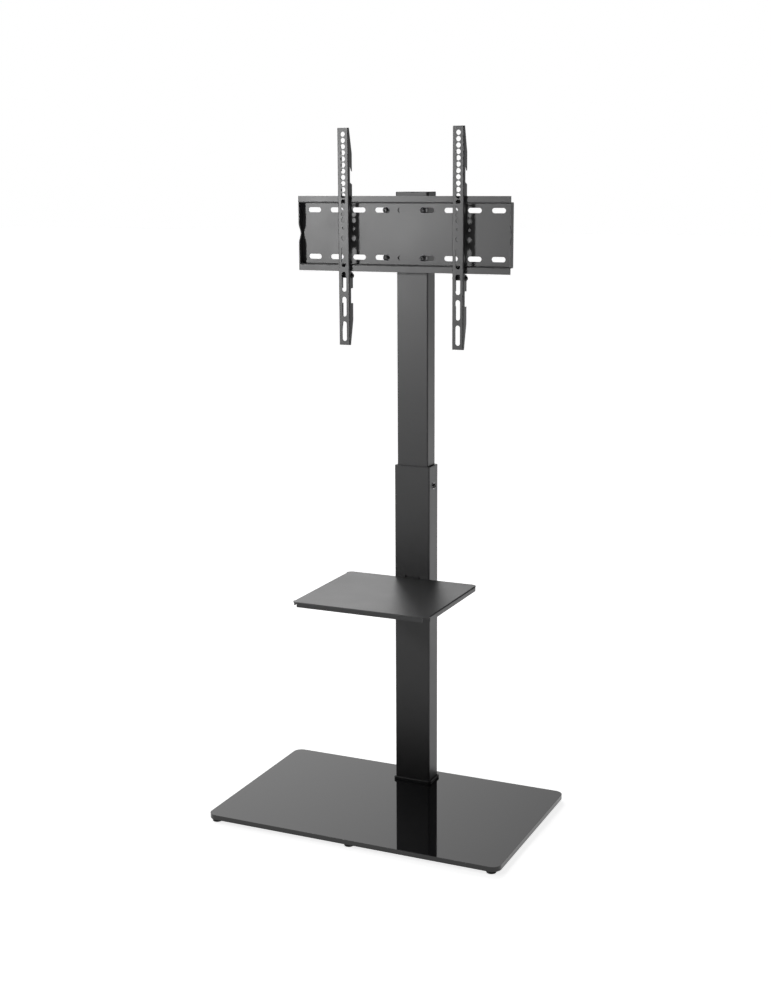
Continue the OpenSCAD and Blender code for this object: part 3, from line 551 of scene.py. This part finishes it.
# A screw that stands on its head's underside at z = 0, with its threaded shank below
def button_screw(name, thread_d, head_d, head_h, length, pitch):
    thread_r = thread_d / 2
    core_r = thread_r - 0.55 * pitch
    head_r = head_d / 2
    rim = 0.2 * head_h
    dome = 65
    socket_r = 0.325 * thread_d / math.cos(math.radians(30))
    steps = [(core_r * 0.92, -length), (core_r, -length + 0.3 * pitch)]
    turns = int((length - pitch) / pitch)
    for i in range(turns):
        base = -length + (i + 0.5) * pitch
        steps += [(thread_r, base + 0.35 * pitch), (thread_r, base + 0.50 * pitch)]
        steps.append((core_r, base + 0.95 * pitch))
    steps += [(thread_r, -0.3 * pitch), (thread_r, 0), (head_r * 0.94, 0)]
    steps += [(head_r, 0.06 * head_h), (head_r, rim)]
    for i in range(1, 8):
        tilt = math.radians(dome * i / 7)
        rise = rim + (head_h - rim) * math.sin(tilt) / math.sin(math.radians(dome))
        steps.append((head_r * math.cos(tilt), rise))
    screw = turned(name, steps, sides=36)
    bpy.ops.object.select_all(action="DESELECT")
    bpy.ops.mesh.primitive_cylinder_add(
        vertices=6, radius=socket_r, depth=2 * head_h, location=(0, 0, 1.4 * head_h),
    )
    cut(screw, bpy.context.object)
    apply_modifier(
        screw, "BEVEL", width=0.12 * MM, segments=1, limit_method="ANGLE", angle_limit=math.radians(60),
    )
    return screw


def place_copy(piece, name, place, turn, material, slot, body, node):
    copied = bpy.data.objects.new(name, piece.data.copy())
    scene.collection.objects.link(copied)
    copied.location = place
    copied.rotation_euler = turn
    settle(copied)
    smooth(copied)
    dress(copied, material, slot, body, node)


DOWN = (math.pi, 0, 0)
FORWARD = (math.pi / 2, 0, 0)
TO_RIGHT = (0, math.pi / 2, 0)
low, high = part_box("base_bolts")
BASE_HEAD_H = 3.5 * MM
base_bolt = button_screw(
    "base_bolt", thread_d=8 * MM, head_d=2 * BASE_HEAD_R, head_h=BASE_HEAD_H,
    length=high.z - low.z - BASE_HEAD_H, pitch=1.25 * MM,
)
for i, (x, y) in enumerate(base_bolt_places):
    place_copy(
        base_bolt, "base_bolt_" + str(i + 1), (x, y, low.z + BASE_HEAD_H), DOWN,
        screw_black, "screw_black", "base", "base_bolts",
    )
bpy.data.objects.remove(base_bolt)


# Collar
# A moulded plastic ring that hides the joint of column and glass.
piece = piece_from_model("column_collar", "base_collar")
soften(piece, 0.5 * MM, segments=3, angle=30)
dress(piece, plastic_black, "plastic_black", "base", "base_collar")


# Lower column
# A rectangular welded steel tube with a fine black powder coat. A window in its front takes the
# shelf's hook, and a riveted nut in its right side takes the lock screw. A plastic sleeve in its mouth
# guides the upper column.
piece = piece_from_model("lower_tube", "lower_column")
soften(piece, 0.4 * MM)
dress(piece, powder_black, "steel_black", "base", "lower_column")

piece = piece_from_model("guide_sleeve", "glide_sleeve")
soften(piece, 0.4 * MM, segments=3)
dress(piece, plastic_black, "plastic_black", "base", "glide_sleeve")


# Lock screw
# A button head screw with a hexagon socket. It clamps the upper column through its riveted nut.
piece = piece_from_model("lock_rivet_nut", "lock_nut")
soften(piece, 0.2 * MM)
dress(piece, zinc, "zinc", "base", "lock_nut")

low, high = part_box("lock_screw")
M6_THREAD_D = 6 * MM
M6_PITCH = 1 * MM
M6_HEAD_H = 3.3 * MM
lock = button_screw(
    "lock", thread_d=M6_THREAD_D, head_d=high.z - low.z, head_h=M6_HEAD_H,
    length=high.x - low.x - M6_HEAD_H, pitch=M6_PITCH,
)
place_copy(
    lock, "lock_button_screw", (high.x - M6_HEAD_H, (low.y + high.y) / 2, (low.z + high.z) / 2), TO_RIGHT,
    powder_black, "screw_black", "base", "lock_screw",
)
bpy.data.objects.remove(lock)


# Shelf
# One steel sheet with lips folded down at the front and the sides. A hook at its back turns up inside
# the column, and a flange under it is held by two screws.
piece = piece_from_model("shelf_tray", "shelf")
soften(piece, 0.3 * MM)
dress(piece, powder_black, "steel_black", "base", "shelf")

low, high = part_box("shelf_screws")
M6_HEAD_R = 5.75 * MM
shelf_screw = button_screw(
    "shelf_screw", thread_d=M6_THREAD_D, head_d=2 * M6_HEAD_R, head_h=M6_HEAD_H,
    length=high.y - low.y - M6_HEAD_H, pitch=M6_PITCH,
)
for side, x in (("left", low.x + M6_HEAD_R), ("right", high.x - M6_HEAD_R)):
    place_copy(
        shelf_screw, "shelf_screw_" + side, (x, low.y + M6_HEAD_H, (low.z + high.z) / 2), FORWARD,
        screw_black, "screw_black", "base", "shelf_screws",
    )
bpy.data.objects.remove(shelf_screw)


# A nut that stands on z = 0, with the corners of both its faces turned off
def hexagon_nut(name, flats, height, bore_r):
    corner_r = flats / 2 / math.cos(math.radians(30))
    bpy.ops.object.select_all(action="DESELECT")
    bpy.ops.mesh.primitive_cylinder_add(
        vertices=6, radius=corner_r, depth=height, location=(0, 0, height / 2),
    )
    made = bpy.context.object
    made.name = name
    settle(made)
    lathe = turned("lathe", [
        (flats * 0.48, 0), (corner_r * 1.01, height * 0.14),
        (corner_r * 1.01, height * 0.86), (flats * 0.48, height),
    ], sides=48)
    cut(made, lathe, "INTERSECT")
    bore = turned("bore", [
        (bore_r * 1.2, -0.1 * height), (bore_r * 1.12, 0), (bore_r, 0.09 * height),
        (bore_r, 0.91 * height), (bore_r * 1.12, height), (bore_r * 1.2, 1.1 * height),
    ], sides=36)
    cut(made, bore)
    return made


low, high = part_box("shelf_nuts")
M6_NUT_FLATS = 10 * MM
M6_BORE_R = 3.05 * MM
shelf_nut = hexagon_nut("shelf_nut", flats=M6_NUT_FLATS, height=high.y - low.y, bore_r=M6_BORE_R)
for side, x in (("left", low.x + M6_NUT_FLATS / 2), ("right", high.x - M6_NUT_FLATS / 2)):
    place_copy(
        shelf_nut, "shelf_nut_" + side, (x, high.y, (low.z + high.z) / 2), FORWARD,
        zinc, "zinc", "base", "shelf_nuts",
    )
bpy.data.objects.remove(shelf_nut)


# Upper column
# A smaller tube that slides in the lower one. A plastic shoe guides its lower end, and a moulded cap
# closes its top.
piece = piece_from_model("upper_tube", "upper_column")
soften(piece, 0.4 * MM)
dress(piece, powder_black, "steel_black", "head", "upper_column")

piece = piece_from_model("tube_shoe", "column_glide")
soften(piece, 0.5 * MM)
dress(piece, plastic_black, "plastic_black", "head", "column_glide")

piece = piece_from_model("tube_cap", "column_cap")
soften(piece, 0.5 * MM, segments=3, angle=30)
dress(piece, plastic_black, "plastic_black", "head", "column_cap")


# Head bracket
# A steel plate on two cheeks, welded to the front of the upper column and coated with it. Short weld
# beads run up the cheeks' outer sides, at the column and at the bracket's plate.
piece = piece_from_model("welded_bracket", "head_bracket")
soften(piece, 0.5 * MM)
dress(piece, powder_black, "steel_black", "head", "head_bracket")


BEAD_L = 26 * MM
BEAD_R = 2.6 * MM
DROP_PITCH = 1.7 * MM
DROP_FLATNESS = 0.72


# A row of flattened drops that overlap, as a weld bead looks under the coat
def weld_bead(name, place):
    drops = int(BEAD_L / DROP_PITCH)
    bpy.ops.object.select_all(action="DESELECT")
    bpy.ops.mesh.primitive_uv_sphere_add(segments=16, ring_count=10, radius=BEAD_R, location=place)
    bead = bpy.context.object
    bead.name = name
    bpy.ops.transform.resize(value=(1, 1, DROP_FLATNESS))
    settle(bead)
    apply_modifier(
        bead, "ARRAY", count=drops, use_relative_offset=False, use_constant_offset=True,
        constant_offset_displace=(0, 0, DROP_PITCH),
    )
    smooth(bead, angle=60)
    bead.data.materials.append(powder_black)
    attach(bead, "head")


BRACKET_T = 3 * MM
CHEEK_OUTSIDE_X = 30.9 * MM
BEAD_INSET = 4 * MM
low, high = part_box("head_bracket")
plate_rear = low.y + BRACKET_T
for side, x in (("left", -CHEEK_OUTSIDE_X), ("right", CHEEK_OUTSIDE_X)):
    for level, z in (("lower", low.z + BEAD_INSET), ("upper", high.z - BEAD_INSET - BEAD_L)):
        weld_bead("bracket_weld_" + level + "_" + side, (x, high.y, z))
        weld_bead("plate_weld_" + level + "_" + side, (x, plate_rear, z))


# Mount plate
# A folded steel sheet with two rows of slots, front lips that carry the arms, and notched end flanges.
piece = piece_from_model("slotted_plate", "mount_plate")
soften(piece, 0.3 * MM)
dress(piece, powder_black, "steel_black", "head", "mount_plate")


# Plate bolts
# Four button head screws with washers hold the plate to the head bracket, with nuts behind it.
low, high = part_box("plate_bolts")
plate_bolt = button_screw(
    "plate_bolt", thread_d=M6_THREAD_D, head_d=2 * M6_HEAD_R, head_h=M6_HEAD_H,
    length=high.y - low.y - M6_HEAD_H, pitch=M6_PITCH,
)
plate_bolt_places = [
    (level + "_" + side, x, z)
    for level, z in (("lower", low.z + M6_HEAD_R), ("upper", high.z - M6_HEAD_R))
    for side, x in (("left", low.x + M6_HEAD_R), ("right", high.x - M6_HEAD_R))
]
for corner, x, z in plate_bolt_places:
    place_copy(
        plate_bolt, "plate_bolt_" + corner, (x, low.y + M6_HEAD_H, z), FORWARD,
        screw_black, "screw_black", "head", "plate_bolts",
    )
bpy.data.objects.remove(plate_bolt)

low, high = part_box("plate_washers")
WASHER_R = 7 * MM
WASHER_HOLE_R = 3.3 * MM
thick = high.y - low.y
washer = turned("washer", [
    (WASHER_R * 0.97, 0), (WASHER_R, 0.15 * thick), (WASHER_R, 0.7 * thick), (WASHER_R * 0.96, thick),
])
bore = turned("bore", [(WASHER_HOLE_R, -thick), (WASHER_HOLE_R, 2 * thick)], sides=32)
cut(washer, bore)
for corner, x, z in plate_bolt_places:
    place_copy(
        washer, "plate_washer_" + corner, (x, high.y, z), FORWARD,
        washer_black, "screw_black", "head", "plate_washers",
    )
bpy.data.objects.remove(washer)

low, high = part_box("plate_nuts")
plate_nut = hexagon_nut("plate_nut", flats=M6_NUT_FLATS, height=high.y - low.y, bore_r=M6_BORE_R)
for corner, x, z in plate_bolt_places:
    place_copy(
        plate_nut, "plate_nut_" + corner, (x, high.y, z), FORWARD,
        zinc, "zinc", "head", "plate_nuts",
    )
bpy.data.objects.remove(plate_nut)


# Arms
# Two folded steel channels with a row of holes and long slots for the screen's screws. Their sides are
# cut to hooks that hang on the plate's lips.
for side in ("left", "right"):
    piece = piece_from_model("screen_arm_" + side, "arm_" + side)
    soften(piece, 0.3 * MM)
    dress(piece, powder_black, "steel_black", side + "_arm", "arm_" + side)


# Safety screws
# One screw and nut across each arm hold a plastic block just under the plate's lower lip, so the arm
# can't be lifted off.
low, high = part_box("arm_left_screw")
SAFETY_HEAD_H = 3.8 * MM
safety_screw = button_screw(
    "safety_screw", thread_d=5 * MM, head_d=high.z - low.z, head_h=SAFETY_HEAD_H,
    length=high.x - low.x - SAFETY_HEAD_H, pitch=0.8 * MM,
)
low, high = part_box("arm_left_nut")
safety_nut = hexagon_nut("safety_nut", flats=8 * MM, height=high.x - low.x, bore_r=2.55 * MM)
for side in ("left", "right"):
    low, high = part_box("arm_" + side + "_screw")
    place_copy(
        safety_screw, "safety_screw_" + side,
        (high.x - SAFETY_HEAD_H, (low.y + high.y) / 2, (low.z + high.z) / 2),
        TO_RIGHT, screw_black, "screw_black", side + "_arm", "arm_" + side + "_screw",
    )
    low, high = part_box("arm_" + side + "_nut")
    place_copy(
        safety_nut, "safety_nut_" + side, (low.x, (low.y + high.y) / 2, (low.z + high.z) / 2),
        TO_RIGHT, screw_black, "screw_black", side + "_arm", "arm_" + side + "_nut",
    )
    piece = piece_from_model("stop_block_" + side, "arm_" + side + "_stop")
    soften(piece, 0.5 * MM, segments=3)
    dress(piece, plastic_black, "plastic_black", side + "_arm", "arm_" + side + "_stop")
bpy.data.objects.remove(safety_screw)
bpy.data.objects.remove(safety_nut)
